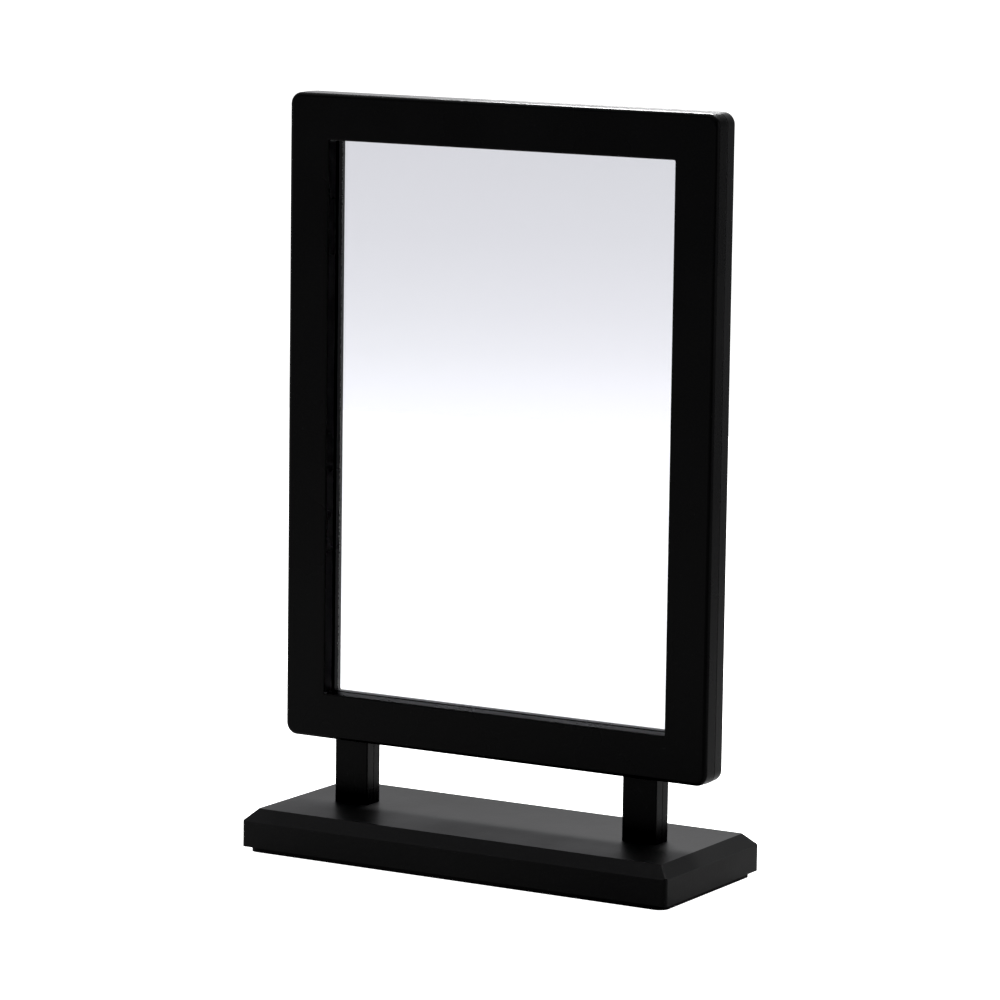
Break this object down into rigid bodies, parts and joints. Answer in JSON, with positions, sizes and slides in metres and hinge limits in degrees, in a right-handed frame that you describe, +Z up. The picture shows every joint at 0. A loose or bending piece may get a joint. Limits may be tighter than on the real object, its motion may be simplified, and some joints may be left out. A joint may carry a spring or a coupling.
{
  "type": "countertop mirror",
  "caption": "Upright rectangular two-sided mirror in a thick black plastic frame, on a pair of short legs over a chamfered, weighted rectangular base.",
  "frame": {"origin": "centre of the base's footprint, on the surface that the rubber feet stand on", "axes": "+Z up along the mirror's height, +X along its width, +Y from the front mirror towards the rear one"},
  "size_m": [0.231, 0.092, 0.3633],
  "materials": {
    "frame_plastic": "fine satin moulded texture, black",
    "base_plastic": "fine matte moulded grain, black",
    "cover_plastic": "plain matte, black",
    "mirror_glass": "clear float glass silvered on the back",
    "separator_sheet": "thin matte sheet",
    "edge_foam": "closed-cell foam",
    "black_screws": "black oxide steel",
    "zinc_steel": "bright zinc plated",
    "ballast_steel": "hot-rolled plate, oiled",
    "foot_rubber": "matte rubber"
  },
  "bodies": {
    "root": {"front_frame": "frame_plastic", "rear_frame": "frame_plastic", "front_mirror": "mirror_glass", "rear_mirror": "mirror_glass", "mirror_separator": "separator_sheet", "top_edge_strip": "edge_foam", "bottom_edge_strip": "edge_foam", "left_edge_strip": "edge_foam", "right_edge_strip": "edge_foam", "frame_screws": "black_screws", "base_shell": "base_plastic", "base_cover": "cover_plastic", "ballast_plate": "ballast_steel", "ballast_screws": "zinc_steel", "cover_screws": "black_screws", "left_leg_bolt": "zinc_steel", "left_leg_washer": "zinc_steel", "left_leg_nut": "zinc_steel", "right_leg_bolt": "zinc_steel", "right_leg_washer": "zinc_steel", "right_leg_nut": "zinc_steel", "front_left_foot": "foot_rubber", "front_right_foot": "foot_rubber", "rear_left_foot": "foot_rubber", "rear_right_foot": "foot_rubber"}
  },
  "joints": []
}
